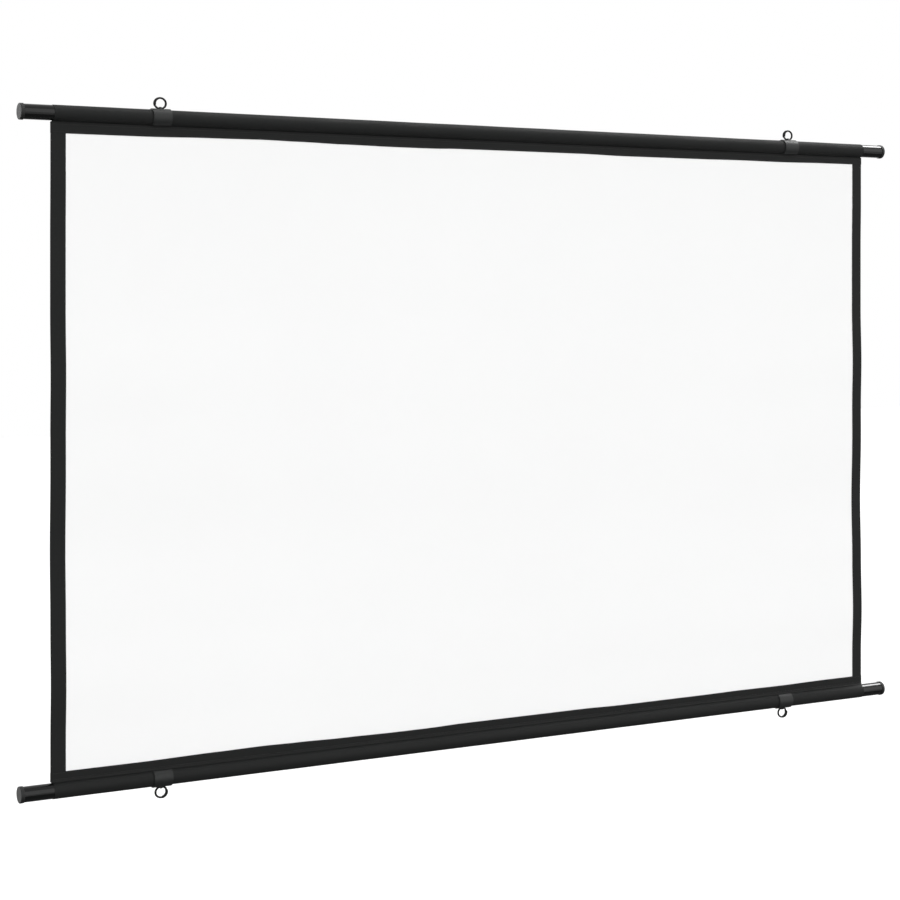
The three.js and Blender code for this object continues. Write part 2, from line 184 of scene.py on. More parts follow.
class ClothSizes(bpy.types.PropertyGroup):
    """Sizes of the fabric pieces"""

    ply: length("Ply", "Thickness of one layer of the black fabric", 0.0003)
    sheet: length("Sheet", "Thickness of the white picture sheet", 0.0004)
    slit: length("Slit", "Room between the picture sheet and each ply beside it", 0.0003)
    band: length("Band", "Height of the black band between a bar and the picture", 0.0147)
    top_taper: length("Upper taper", "How much the upper band narrows from left to right", 0.0043)
    bottom_taper: length("Lower taper", "How much the lower band widens from left to right", 0.0009)
    inset: length("Pocket inset", "How far a pocket ends inside the fabric's side edge", 0.003)
    neck: length("Neck", "Distance from the pocket to where the fabric has its full width", 0.0017)
    neck_fillet: length("Neck fillet", "Radius at which a ply turns from the bar into the band", 0.0016)
    foot_fillet: length("Foot fillet", "Radius at which a lower ply runs out over the pocket", 0.004)
    tuck: length("Tuck", "How far a side border runs in under a hem", 0.003)
    pinch: length("Pinch", "Over what length a side border lies pressed flat beside a hem", 0.045)
    gather_reach: length("Gather reach", "How deep in the bands the gathered sheet is held", 0.0028)
    fold: length("Fold depth", "How far the slack folds stand off the flat at the side edges", 0.0024)
    fold_middle: number("Fold share", "Depth of the folds in the middle of the picture", 0.35)
    wander: length("Edge wander", "How far the picture's edge wanders from a straight line", 0.0021)
    pucker: length("Pucker", "Height of the small puckers that sewing leaves in a band", 0.00022)
    crease: length("Crease", "Height of the soft creases of a pocket round its bar", 0.00016)
    columns: count("Columns", "Steps of the fabric across its width", 240)
    rows: count("Rows", "Steps of the fabric down the picture", 150)


class HardwareSizes(bpy.types.PropertyGroup):
    """Sizes of the bars' tubes and end caps, the clips and the rings"""

    tube_wall: length("Tube wall", "Wall of the steel tube", 0.001)
    tube_edge: length("Tube edge", "Width of the broken edge at a tube's end", 0.00015)
    cap_radius: length("Cap radius", "Radius of an end cap's head", 0.0118)
    cap_head: length("Cap head", "Length of an end cap's head", 0.0053)
    cap_edge: length("Cap edge", "Radius of the rounded rim of a cap", 0.0009)
    cap_floor: length("Cap floor", "Thickness of a cap under its hollow plug", 0.0024)
    plug_length: length("Plug", "Length of a cap's plug inside the tube", 0.018)
    plug_wall: length("Plug wall", "Wall of the hollow plug", 0.002)
    plug_gap: length("Plug gap", "Room between the plug and the tube", 0.0006)
    rib_height: length("Rib height", "Height of the gripping ribs on a plug", 0.00035)
    rib_width: length("Rib width", "Width of a gripping rib", 0.0012)
    ribs: count("Ribs", "Gripping ribs on a plug", 3)
    clip_gap: length("Clip gap", "Room between a clip and the pocket inside it", 0.00025)
    clip_wall: length("Clip wall", "Wall of a split clip", 0.0014)
    clip_mouth: angle("Clip mouth", "Opening of a clip round the pocket's neck", 50)
    clip_edge: length("Clip edge", "Rounding of a clip's end edges", 0.0003)
    window_length: length("Window length", "Length of the window in a clip's crown", 0.0165)
    window_width: length("Window width", "Width of the window in a clip's crown", 0.009)
    bridge_width: length("Bridge width", "Width of the bridge that holds the ring", 0.0034)
    bridge_wall: length("Bridge wall", "Wall of the bridge over the ring's wire", 0.00075)
    bridge_foot: length("Bridge foot", "Width of the bridge where it meets the clip", 0.011)
    channel_gap: length("Channel gap", "Room round the wire under the bridge", 0.0005)
    wire: length("Wire", "Diameter of a ring's wire", 0.0028)
    wire_rise: length("Wire rise", "Height of the wire over the bar's axis, inside the clip", 0.0132)
    ring_width: length("Ring width", "Width of a ring between the middles of its wire", 0.0172)
    ring_height: length("Ring height", "Height of a ring between the middles of its wire", 0.0154)
    lap_start: angle("Lap start", "Where a ring's wire starts, from the bar's direction", 105)
    lap_end: angle("Lap end", "Where the wire's other end lies beside it", 197)
    lap_step: angle("Lap step", "How far round the wire steps aside", 18)
    lap_gap: length("Lap gap", "Room between the two layers of a ring's wire", 0.0001)
    ring_steps: count("Ring steps", "Steps of a ring's wire along its whole length", 130)
    ring_squareness: number("Ring squareness", "Below 1 a ring's lower half runs down straighter", 0.93)
    ring_stretch: number("Ring stretch", "How far a ring is drawn out along the bar", 1.15)


class StitchSizes(bpy.types.PropertyGroup):
    """Sizes of the sewing"""

    thread: length("Thread", "Diameter of the sewing thread", 0.00042)
    stitch: length("Stitch", "Length of one stitch", 0.0029)
    pitch: length("Pitch", "Distance from one stitch to the next", 0.0036)
    margin: length("Margin", "Distance of an edge seam from the fabric's edge", 0.0018)
    seam: length("Pocket seam", "Distance of a pocket's seam from its neck", 0.0024)


class Finishes(bpy.types.PropertyGroup):
    """Colours of the screen's finishes"""

    paint: colour("Bar paint", "Gloss black paint of the bars", (0.003, 0.0032, 0.0032))
    cap: colour("Cap plastic", "Matt plastic of the end caps", (0.006, 0.0064, 0.0063))
    fabric: colour("Black fabric", "Fabric of the pockets, hem and borders", (0.0082, 0.0087, 0.0085))
    picture: colour("Picture sheet", "White matt picture sheet", (0.93, 0.932, 0.93))
    clip: colour("Clip plastic", "Satin plastic of the clips", (0.0078, 0.0086, 0.0084))
    ring: colour("Ring wire", "Black coated wire of the rings", (0.007, 0.007, 0.007))
    thread: colour("Thread", "Black sewing thread", (0.012, 0.0125, 0.012))
    floor: colour("Floor", "Pale studio floor", (0.5, 0.5, 0.5))
    card: colour("Card", "Dark card that gloss shows below the screen", (0.14, 0.14, 0.14))


class Studio(bpy.types.PropertyGroup):
    """The camera and the light"""

    lens: focal_length("Lens", "Focal length of the camera", 81.28)
    turn: angle("Camera turn", "How far the camera is turned round the screen", -29.79)
    camera_x: length("Camera X", "Place of the camera along the bars", -1.6715)
    camera_y: length("Camera Y", "Place of the camera in front of the picture", -2.754)
    camera_rise: length("Camera rise", "Height of the camera above the lower bar", 0.6895)
    shift: number("Shift", "Vertical shift that keeps upright edges upright", -0.16667)
    floor_drop: length("Floor drop", "Height of the lower bar above the floor", 1.6)
    ambient: number("Ambient", "Strength of the even light from all sides", 0.26)
    floor_glow: number("Floor glow", "Strength that makes the floor look white", 0.6)
    card_x: length("Card X", "Place of the card's middle along the bars", 1.4)
    card_radius: length("Card radius", "Radius of the dark card that gloss shows below the screen", 4.0)
    card_rise: length("Card rise", "Height of the card above the floor", 0.02)


def offer_lights(fields):
    """Adds the strength, direction and width of each light to the properties of a group."""
    for name, strength, comes_from, width in LIGHTS:
        label = name.capitalize()
        fields[name] = number(f"{label} light", f"Strength of the {name} light", strength)
        fields[f"{name}_from"] = direction(f"{label} from", f"Where the {name} light is", comes_from)
        fields[f"{name}_width"] = angle(f"{label} width", f"How wide the {name} light looks", width)


offer_lights(Studio.__annotations__)


def cloth():
    return bpy.context.scene.screen_cloth


def hardware():
    return bpy.context.scene.screen_hardware


def sewing():
    return bpy.context.scene.screen_sewing


def finishes():
    return bpy.context.scene.screen_finishes


def studio():
    return bpy.context.scene.screen_studio


# Shapes of the hanging fabric.


def eased(low, high, along):
    """A value between low and high, with along from 0 to 1 and a soft start and end."""
    along = min(max(along, 0), 1)
    return low + (high - low) * along * along * (3 - 2 * along)


def eased_share(shares, place):
    """A value read from a list of (place, value) shares, eased from one entry to the next."""
    for (start, low), (end, high) in zip(shares, shares[1:]):
        if place <= end:
            return eased(low, high, (place - start) / (end - start))
    return shares[-1][1]


def hem_depth():
    return POCKET_RADIUS + cloth().band


def wander_at(x):
    return cloth().wander * eased_share(WANDER_SHARES, x / (2 * FABRIC_HALF) + 0.5)


def picture_top(x):
    return TOP_AXIS - hem_depth() + cloth().top_taper * x / (2 * FABRIC_HALF) + wander_at(x)


def picture_bottom(x):
    return BOTTOM_AXIS + hem_depth() + cloth().bottom_taper * x / (2 * FABRIC_HALF) + wander_at(x)


# Each black band: its bar's axis, 1 where the bar is above it, and its edge along the picture.
BANDS = {"upper": (TOP_AXIS, 1, picture_top), "lower": (BOTTOM_AXIS, -1, picture_bottom)}


def fold_at(x, down):
    """How far the sheet stands off the flat at x, for a share of the picture's height from its top."""
    outwards = x / FABRIC_HALF
    calm = cloth().fold_middle + (1 - cloth().fold_middle) * outwards * outwards
    return -cloth().fold * calm * eased_share(FOLD_SHARES, down)


def ply_middle():
    """Distance from the sheet's middle to the middle of the ply beside it."""
    return cloth().sheet / 2 + cloth().slit + cloth().ply / 2


def spread(low, high, steps):
    """Even places from low to high, both included."""
    return [low + (high - low) * i / steps for i in range(steps + 1)]


def put(name, data):
    """A new object in the scene that holds some data."""
    thing = bpy.data.objects.new(name, data)
    bpy.context.scene.collection.objects.link(thing)
    return thing


def put_mesh(name, points, faces):
    mesh = bpy.data.meshes.new(name)
    mesh.from_pydata(points, [], faces)
    return put(name, mesh)


def lay_cloth(name, rows, thickness, closed=False):
    """A cloth of that thickness through rows of points, with a UV map in metres along both threads."""
    width = len(rows[0])
    points = [point for row in rows for point in row]
    across = [0]
    for before, after in zip(rows[0], rows[0][1:]):
        across.append(across[-1] + (after - before).length)
    middle = width // 2
    down = [0]
    ring = rows + rows[:1] if closed else rows
    for before, after in zip(ring, ring[1:]):
        down.append(down[-1] + (after[middle] - before[middle]).length)
    faces = []
    corners = []
    for i in range(len(ring) - 1):
        for j in range(width - 1):
            low = i * width + j
            high = (i + 1) % len(rows) * width + j
            faces.append((low, low + 1, high + 1, high))
            corners += [(i, j), (i, j + 1), (i + 1, j + 1), (i + 1, j)]
    piece = put_mesh(name, points, faces)
    threads = piece.data.uv_layers.new(name="Threads")
    for loop, (i, j) in zip(threads.data, corners):
        loop.uv = (across[j], down[i])
    thicken(piece, thickness, 0)
    return piece, (across[-1], down[-1])


# Modelling steps.


def only(piece):
    """Makes a piece the one selected and active object."""
    bpy.ops.object.select_all(action="DESELECT")
    piece.select_set(True)
    bpy.context.view_layer.objects.active = piece


def add(primitive, name, scale=None, **settings):
    """Adds one of Blender's primitives with nothing else selected, and puts its place into its mesh."""
    bpy.ops.object.select_all(action="DESELECT")
    primitive(**settings)
    piece = bpy.context.active_object
    piece.name = name
    piece.data.name = name
    if scale:
        piece.scale = scale
    bpy.ops.object.transform_apply(location=True, rotation=True, scale=True)
    return piece


def round_bar(name, radius, low, high, sides, z=0, filled=True):
    """A cylinder along X from low to high."""
    return add(
        bpy.ops.mesh.primitive_cylinder_add,
        name,
        vertices=sides,
        radius=radius,
        depth=high - low,
        end_fill_type="NGON" if filled else "NOTHING",
        location=((low + high) / 2, 0, z),
        rotation=(0, math.pi / 2, 0),
    )


def disc(name, radius, sides, place, turned=0):
    """A flat round face that lies level, or is turned about Y."""
    form = {"radius": radius, "vertices": sides, "fill_type": "NGON"}
    where = {"location": place, "rotation": (0, turned, 0)}
    return add(bpy.ops.mesh.primitive_circle_add, name, **form, **where)


def block(name, low, high):
    """A box between two corners."""
    low, high = Vector(low), Vector(high)
    middle = (low + high) / 2
    return add(bpy.ops.mesh.primitive_cube_add, name, high - low, size=1, location=middle)


def edit(piece):
    only(piece)
    bpy.ops.object.mode_set(mode="EDIT")


def stop_editing():
    bpy.ops.object.mode_set(mode="OBJECT")


def pick_all():
    bpy.ops.mesh.select_all(action="SELECT")


def bevel_picked(offset, steps):
    bpy.ops.mesh.bevel(offset=offset, segments=steps, affect="EDGES")


def pick(piece, kind, test):
    """Selects the faces or edges of the piece being edited that pass a test, and nothing else."""
    bpy.ops.mesh.select_all(action="DESELECT")
    bpy.ops.mesh.select_mode(type=kind)
    mesh = bmesh.from_edit_mesh(piece.data)
    for part in mesh.faces if kind == "FACE" else mesh.edges:
        if test(part):
            part.select_set(True)
    bmesh.update_edit_mesh(piece.data)


def pick_facing(piece, *way):
    """Selects the faces that face one way."""
    pick(piece, "FACE", lambda face: face.normal.dot(Vector(way)) > 0.99)


def edge_run(edge):
    return edge.verts[1].co - edge.verts[0].co


def pull(step):
    """Extrudes the selected faces by a step."""
    bpy.ops.mesh.extrude_region_move(TRANSFORM_OT_translate={"value": step})


def resize(scale, centre):
    bpy.ops.transform.resize(value=scale, center_override=centre)


def use_modifier(piece, kind, **settings):
    """Adds a modifier with its settings and applies it."""
    only(piece)
    modifier = piece.modifiers.new(kind.title(), kind)
    for key, value in settings.items():
        setattr(modifier, key, value)
    bpy.ops.object.modifier_apply(modifier=modifier.name)


def thicken(piece, thickness, offset):
    use_modifier(piece, "SOLIDIFY", thickness=thickness, offset=offset, use_even_offset=True)


def soften_edges(piece, width, steps=2, sharper_than=50):
    limit = {"limit_method": "ANGLE", "angle_limit": math.radians(sharper_than)}
    use_modifier(piece, "BEVEL", width=width, segments=steps, **limit)


def join_or_cut(piece, tool, operation):
    """Cuts a piece with a tool or joins them, and removes the tool."""
    use_modifier(piece, "BOOLEAN", operation=operation, object=tool, solver="EXACT")
    bpy.data.objects.remove(tool)


def copy_of(piece, name, place):
    """A copy of a piece with a mesh of its own, put in its place."""
    copy = put(name, piece.data.copy())
    copy.data.name = name
    copy.data.transform(place)
    return copy


def dress(piece, material, slot, body, node=None, smooth_below=35, bevelled=False):
    """Smooths a piece, gives it its finish and sets it on its body.
    On a bevelled piece the large faces rule the normals beside the narrow bevels."""
    only(piece)
    bpy.ops.object.shade_smooth_by_angle(angle=math.radians(smooth_below))
    if bevelled:
        use_modifier(piece, "WEIGHTED_NORMAL", keep_sharp=True)
    piece.data.materials.clear()
    piece.data.materials.append(bpy.data.materials[material])
    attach(piece, body)
    if node:
        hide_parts(node)


# Materials.


class Nodes:
    """The nodes of a material or of the world."""

    def __init__(self, tree):
        self.tree = tree

    def node(self, kind, settings=None, sockets=None):
        """Adds a node, sets its settings and then gives its sockets their values or links."""
        node = self.tree.nodes.new(kind)
        for key, value in (settings or {}).items():
            setattr(node, key, value)
        for key, value in (sockets or {}).items():
            self.feed(node.inputs[key], value)
        return node

    def feed(self, socket, value):
        if isinstance(value, bpy.types.NodeSocket):
            self.tree.links.new(value, socket)
        elif socket.type == "RGBA" and len(value) == 3:
            socket.default_value = (*value, 1)
        else:
            socket.default_value = value

    def number(self, kind, settings, sockets):
        """The first output of a new node."""
        return self.node(kind, settings, sockets).outputs[0]

    def math(self, operation, *values):
        return self.number("ShaderNodeMath", {"operation": operation}, dict(enumerate(values)))

    def blend(self, *parts):
        """The sum of some numbers, each times its share."""
        total = 0
        for value, share in parts:
            total = self.math("MULTIPLY_ADD", value, share, total)
        return total

    def seen_mix(self, soft, seen):
        """A strength that is soft for light rays and seen for camera, mirror and glass rays."""
        path = self.node("ShaderNodeLightPath").outputs
        share = path["Is Camera Ray"]
        for ray in ("Is Glossy Ray", "Is Transmission Ray"):
            share = self.math("MAXIMUM", share, path[ray])
        return self.math("MULTIPLY_ADD", share, seen - soft, soft)


class Finish(Nodes):
    """A material's nodes, built round one Principled shader."""

    def __init__(self, name, roughness, specular):
        self.material = bpy.data.materials.new(name)
        self.material.use_nodes = True
        super().__init__(self.material.node_tree)
        self.shader = self.tree.nodes["Principled BSDF"]
        self.set("Roughness", roughness)
        self.set("Specular IOR Level", specular)

    def threads(self):
        """Place on the cloth along each of its threads, in metres."""
        uv = self.node("ShaderNodeUVMap", {"uv_map": "Threads"}).outputs["UV"]
        return self.node("ShaderNodeSeparateXYZ", None, {0: uv}).outputs[:2]

    def grain(self, size, detail=2):
        """Even noise from 0 to 1 whose grains are about that size."""
        place = self.node("ShaderNodeTexCoord").outputs["Object"]
        sockets = {"Vector": place, "Scale": 1 / size, "Detail": detail}
        return self.number("ShaderNodeTexNoise", None, sockets)

    def mix(self, factor, first, second):
        """A colour between two colours."""
        sockets = {"Factor": factor, "A": first, "B": second}
        node = self.node("ShaderNodeMix", {"data_type": "RGBA"})
        for socket in node.inputs:
            if socket.enabled and socket.name in sockets:
                self.feed(socket, sockets[socket.name])
        return next(out for out in node.outputs if out.enabled)

    def range(self, value, low, high, to_low=0, to_high=1):
        """A number taken from one range to another, and kept inside it."""
        sockets = {"Value": value, "From Min": low, "From Max": high}
        sockets.update({"To Min": to_low, "To Max": to_high})
        return self.number("ShaderNodeMapRange", None, sockets)

    def set(self, name, value):
        self.feed(self.shader.inputs[name], value)

    def tint(self, tone, base, dark, light):
        """Colours the surface between two shades of its colour, each given as a share of it."""
        shades = [tuple(min(part * share, 1) for part in base) for share in (dark, light)]
        self.set("Base Color", self.mix(tone, *shades))

    def roughen(self, noise, smooth, rough, *more):
        """Roughness that follows the middle of a noise's range, with more parts added to it."""
        value = self.range(noise, 0.3, 0.7, smooth, rough)
        self.set("Roughness", self.blend((value, 1), *more))

    def emboss(self, height, depth, strength):
        """Turns a height from 0 to 1 into relief of that depth in metres."""
        sockets = {"Height": height, "Distance": depth, "Strength": strength}
        self.set("Normal", self.node("ShaderNodeBump", None, sockets).outputs["Normal"])


def woven_height(finish, pitch):
    """Height of a plain weave, from 0 to 1, whose threads lie a pitch apart."""
    turns = [finish.math("MULTIPLY", along, math.pi / pitch) for along in finish.threads()]
    warp, weft = [finish.math("SINE", turned) for turned in turns]
    over = finish.range(finish.math("MULTIPLY", warp, weft), -0.35, 0.35)
    under = finish.math("SUBTRACT", 1, over)
    warp, weft = [finish.math("ABSOLUTE", wave) for wave in (warp, weft)]
    return finish.blend((over, warp), (under, weft))


def make_black_fabric():
    finish = Finish("woven_black_fabric", roughness=0.65, specular=0.135)
    weave = woven_height(finish, 0.00042)
    cloudy = finish.grain(0.09, 3)
    slubs = finish.grain(0.004)
    tone = finish.range(finish.blend((weave, 0.5), (cloudy, 0.3), (slubs, 0.2)), 0.2, 0.85)
    finish.tint(tone, finishes().fabric, dark=0.72, light=1.28)
    finish.roughen(cloudy, smooth=0.61, rough=0.69)
    finish.emboss(finish.blend((weave, 1), (slubs, 0.4)), depth=0.00005, strength=0.4)


def make_picture_fabric():
    finish = Finish("matt_white_fabric", roughness=0.9, specular=0.1)
    weave = woven_height(finish, 0.0003)
    cloudy = finish.grain(0.25, 3)
    tone = finish.range(finish.blend((weave, 0.3), (cloudy, 0.7)), 0.2, 0.8)
    finish.tint(tone, finishes().picture, dark=0.99, light=1.01)
    finish.roughen(cloudy, smooth=0.86, rough=0.94)
    finish.emboss(weave, depth=0.00003, strength=0.35)


def make_bar_paint():
    finish = Finish("gloss_bar_paint", roughness=0.13, specular=0.25)
    peel = finish.grain(0.0022, 1)
    haze = finish.grain(0.03, 3)
    dust = finish.range(finish.grain(0.0009), 0.62, 0.72)
    finish.tint(finish.blend((dust, 0.5), (haze, 0.2)), finishes().paint, dark=1, light=2.6)
    finish.roughen(haze, 0.11, 0.16, (dust, 0.1))
    finish.emboss(peel, depth=0.00001, strength=0.35)


def make_cap_plastic():
    finish = Finish("grained_cap_plastic", roughness=0.58, specular=0.29)
    spark = finish.grain(0.00035)
    cloudy = finish.grain(0.006, 3)
    finish.tint(finish.blend((cloudy, 0.6), (spark, 0.4)), finishes().cap, dark=0.8, light=1.2)
    finish.roughen(spark, smooth=0.54, rough=0.62)
    finish.emboss(spark, depth=0.00005, strength=0.5)


def make_clip_plastic():
    finish = Finish("satin_clip_plastic", roughness=0.49, specular=0.28)
    spark = finish.grain(0.0003)
    flow = finish.grain(0.008)
    finish.tint(finish.blend((flow, 0.7), (spark, 0.3)), finishes().clip, dark=0.85, light=1.15)
    finish.roughen(flow, smooth=0.46, rough=0.54)
    finish.emboss(spark, depth=0.00002, strength=0.4)


def make_ring_wire():
    finish = Finish("coated_ring_wire", roughness=0.66, specular=0.13)
    pitted = finish.grain(0.0006, 3)
    worn = finish.range(finish.grain(0.003, 3), 0.6, 0.75)
    finish.tint(worn, finishes().ring, dark=1, light=2.5)
    finish.roughen(pitted, smooth=0.6, rough=0.72)
    finish.emboss(pitted, depth=0.00002, strength=0.3)


def make_thread():
    finish = Finish("sewing_thread", roughness=0.6, specular=0.3)
    finish.set("Sheen Weight", 0.1)
    finish.set("Sheen Roughness", 0.4)
    fibre = finish.grain(0.0002)
    finish.tint(fibre, finishes().thread, dark=0.7, light=1.5)
    finish.roughen(fibre, smooth=0.5, rough=0.7)
    finish.emboss(fibre, depth=0.00004, strength=0.5)


class MATERIALS_OT_screen(bpy.types.Operator):
    """Make the screen's finishes"""

    bl_idname = "projection.make_finishes"
    bl_label = "Finishes"

    def execute(self, context):
        make_black_fabric()
        make_picture_fabric()
        make_bar_paint()
        make_cap_plastic()
        make_clip_plastic()
        make_ring_wire()
        make_thread()
        return {"FINISHED"}


# The bars.


class BARS_OT_screen(bpy.types.Operator):
    """Add the two painted tubes"""

    bl_idname = "projection.add_bars"
    bl_label = "Bars"

    def execute(self, context):
        sizes = hardware()
        for level, axis in LEVELS.items():
            name = f"{level}_bar_tube"
            tube = round_bar(name, TUBE_RADIUS, -TUBE_HALF, TUBE_HALF, TUBE_SIDES, axis, False)
            thicken(tube, sizes.tube_wall, -1)
            soften_edges(tube, sizes.tube_edge)
            node = f"{level}_tube"
            dress(tube, "gloss_bar_paint", "bar_paint", f"{level}_bar", node, bevelled=True)
        return {"FINISHED"}


def model_cap():
    """A left end cap on the X axis, with its flat face at x = 0."""
    sizes = hardware()
    cap = round_bar("end_cap", sizes.cap_radius, 0, sizes.cap_head, CAP_SIDES)
    edit(cap)
    pick(cap, "EDGE", lambda edge: max(abs(vertex.co.x) for vertex in edge.verts) < sizes.cap_edge / 10)
    bevel_picked(sizes.cap_edge, steps=7)
    plug_radius = TUBE_RADIUS - sizes.tube_wall - sizes.plug_gap
    pick_facing(cap, 1, 0, 0)
    bpy.ops.mesh.inset(thickness=sizes.cap_radius - plug_radius)
    lead = 2 * sizes.rib_width
    pitch = (sizes.plug_length - lead) / (sizes.ribs + 1)
    place, radius = sizes.cap_head, plug_radius
    stations = []
    for i in range(sizes.ribs):
        rib = sizes.cap_head + (i + 1) * pitch
        stations.append((rib - sizes.rib_width / 2, plug_radius))
        stations.append((rib - sizes.rib_width / 3, plug_radius + sizes.rib_height))
        stations.append((rib + sizes.rib_width / 2, plug_radius))
    end = sizes.cap_head + sizes.plug_length
    stations += [(end - lead, plug_radius), (end, plug_radius - sizes.rib_height)]
    for x, wanted in stations:
        pull((x - place, 0, 0))
        resize((1, wanted / radius, wanted / radius), (x, 0, 0))
        place, radius = x, wanted
    bpy.ops.mesh.inset(thickness=sizes.plug_wall)
    pull((sizes.cap_floor - end, 0, 0))
    stop_editing()
    return cap


class CAPS_OT_screen(bpy.types.Operator):
    """Add the four end caps"""

    bl_idname = "projection.add_caps"
    bl_label = "End caps"

    def execute(self, context):
        cap = model_cap()
        for level, axis in LEVELS.items():
            for side, sign in SIDES.items():
                turn = Matrix.Rotation(0 if sign < 0 else math.pi, 4, "Z")
                place = Matrix.Translation((sign * BAR_HALF, 0, axis)) @ turn
                piece = copy_of(cap, f"{level}_{side}_cap_moulding", place)
                node = f"{level}_{side}_end_cap"
                dress(piece, "grained_cap_plastic", "cap_plastic", f"{level}_bar", node, bevelled=True)
        bpy.data.objects.remove(cap)
        return {"FINISHED"}


# The fabric.


def half_width_at(depth):
    """Half the width of a hem at a depth from the bar's axis. Its shoulder is rounded at the pocket."""
    rise = min(max((POCKET_RADIUS + cloth().neck - depth) / cloth().neck, 0), 1)
    return FABRIC_HALF - cloth().inset * (1 - math.sqrt(1 - rise**2))


def pucker_at(x, depth, seed):
    """Distance of a ply from the sheet's middle, with the puckers of its seam."""
    wave = 0
    for share, along, across, shift in PUCKER_WAVES:
        wave += share * noise.noise(Vector((x / along, depth / across, seed + shift)))
    near_seam = eased(1, 0, (depth - POCKET_RADIUS - cloth().neck) / cloth().band)
    share = FAR_PUCKER_SHARE + (1 - FAR_PUCKER_SHARE) * near_seam
    return ply_middle() + cloth().pucker * max(wave + PUCKER_LEVEL, 0) * share


def crease_at(x, turned):
    """How far the pocket stands off its bar, with turned the angle round the bar."""
    crease = 0
    for share, along, tightness, shift in CREASE_WAVES:
        across, up = tightness * math.cos(turned) + shift, tightness * math.sin(turned)
        crease += share * noise.noise(Vector((x / along, across, up)))
    return cloth().crease * crease


def ply_fillet(radius, fillet):
    """Section of a ply from its flat band to a circle round the bar, as (distance from the middle,
    depth) pairs."""
    from_middle = ply_middle() + fillet
    centre = Vector((from_middle, math.sqrt((radius + fillet) ** 2 - from_middle**2)))
    swing = math.atan2(centre.y, centre.x)
    turns = spread(0, swing, FILLET_STEPS)
    return [centre - fillet * Vector((math.cos(turned), math.sin(turned))) for turned in turns]


def ply_rows(level, facing, section, seed):
    """Rows of one ply of a band, from the picture's edge to the end of its section.
    facing is -1 in front."""
    axis, up, edge_at = BANDS[level]
    places = spread(-FABRIC_HALF, FABRIC_HALF, cloth().columns)
    end = section[0].y
    corner = max(POCKET_RADIUS + cloth().neck, end)

    def row(depths, stand=None):
        points = []
        for x, depth in zip(places, depths):
            narrow = half_width_at(depth) / FABRIC_HALF
            y = facing * (stand or pucker_at(x, depth, seed))
            points.append(Vector((x * narrow, y, axis - up * depth)))
        return points

    edges = [up * (axis - edge_at(x)) for x in places]
    rows = []
    for share in spread(0, 1, BAND_STEPS)[:-1]:
        rows.append(row([edge + (corner - edge) * share for edge in edges]))
    for depth in spread(corner, end, SHOULDER_STEPS) if corner > end else [end]:
        rows.append(row([depth] * len(places)))
    return rows + [row([point.y] * len(places), point.x) for point in section[1:]]


def pocket_row(places, axis, turned, narrow=1, calm=1):
    """A row of a pocket along its bar, with turned the angle round the bar from straight below."""
    row = []
    for x in places:
        stand = POCKET_RADIUS - cloth().ply / 2 + crease_at(x, turned) * calm
        y, z = -stand * math.sin(turned), axis - stand * math.cos(turned)
        row.append(Vector((x * narrow, y, z)))
    return row


class UPPER_OT_pocket(bpy.types.Operator):
    """Add the upper pocket: one strip folded round the bar, whose plies hold the sheet"""

    bl_idname = "projection.add_upper_pocket"
    bl_label = "Upper pocket"

    def execute(self, context):
        section = ply_fillet(POCKET_RADIUS - cloth().ply / 2, cloth().neck_fillet)
        start = math.atan2(section[-1].x, section[-1].y)
        end = 2 * math.pi - start
        places = spread(-FABRIC_HALF, FABRIC_HALF, cloth().columns)
        narrow = half_width_at(0) / FABRIC_HALF
        rows = ply_rows("upper", -1, section, 1)
        for turned in spread(start, end, UPPER_POCKET_STEPS)[1:-1]:
            calm = eased(0, 1, min(turned - start, end - turned))
            rows.append(pocket_row(places, TOP_AXIS, turned, narrow, calm))
        rows += reversed(ply_rows("upper", 1, section, 2))
        pocket, flat = lay_cloth("upper_pocket_cloth", rows, cloth().ply)
        dress_black(pocket, "screen", "top_pocket")
        return {"FINISHED"}


class LOWER_OT_pocket(bpy.types.Operator):
    """Add the lower pocket, a sleeve round the lower bar"""

    bl_idname = "projection.add_lower_pocket"
    bl_label = "Lower pocket"

    def execute(self, context):
        turns = spread(0, 2 * math.pi, LOWER_POCKET_STEPS)[:-1]
        places = spread(-POCKET_HALF, POCKET_HALF, cloth().columns)
        rows = [pocket_row(places, BOTTOM_AXIS, turned) for turned in turns]
        sleeve, flat = lay_cloth("lower_pocket_cloth", rows, cloth().ply, closed=True)
        dress_black(sleeve, "bottom_bar", "bottom_pocket")
        return {"FINISHED"}


class LOWER_OT_hem(bpy.types.Operator):
    """Add the lower hem: two plies sewn together above the lower bar, with a foot over the pocket"""

    bl_idname = "projection.add_lower_hem"
    bl_label = "Lower hem"

    def execute(self, context):
        half_ply = cloth().ply / 2
        section = ply_fillet(POCKET_RADIUS + cloth().slit + half_ply, cloth().foot_fillet + half_ply)
        plies = []
        cut = Vector((0, 0))
        for facing, seed in ((-1, 3), (1, 4)):
            rows = ply_rows("lower", facing, section, seed)
            if facing < 0:
                rows.reverse()
            ply, flat = lay_cloth(f"lower_hem_ply_{seed}", rows, cloth().ply)
            plies.append(ply)
            cut = Vector((flat[0], cut.y + flat[1]))
        hem = join_pieces(plies, "lower_hem_cloth")
        dress_black(hem, "hem", "bottom_hem")
        return {"FINISHED"}


def dress_black(piece, body, node):
    """Gives a piece of the black fabric its finish and sets it on its body."""
    dress(piece, "woven_black_fabric", "black_fabric", body, node, FABRIC_SMOOTH)


def join_pieces(pieces, name):
    only(pieces[0])
    for piece in pieces:
        piece.select_set(True)
    bpy.ops.object.join()
    joined = bpy.context.active_object
    joined.name = name
    joined.data.name = name
    return joined


def gather(piece):
    """Gives a piece of the hanging part a mesh of its own."""
    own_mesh(piece)


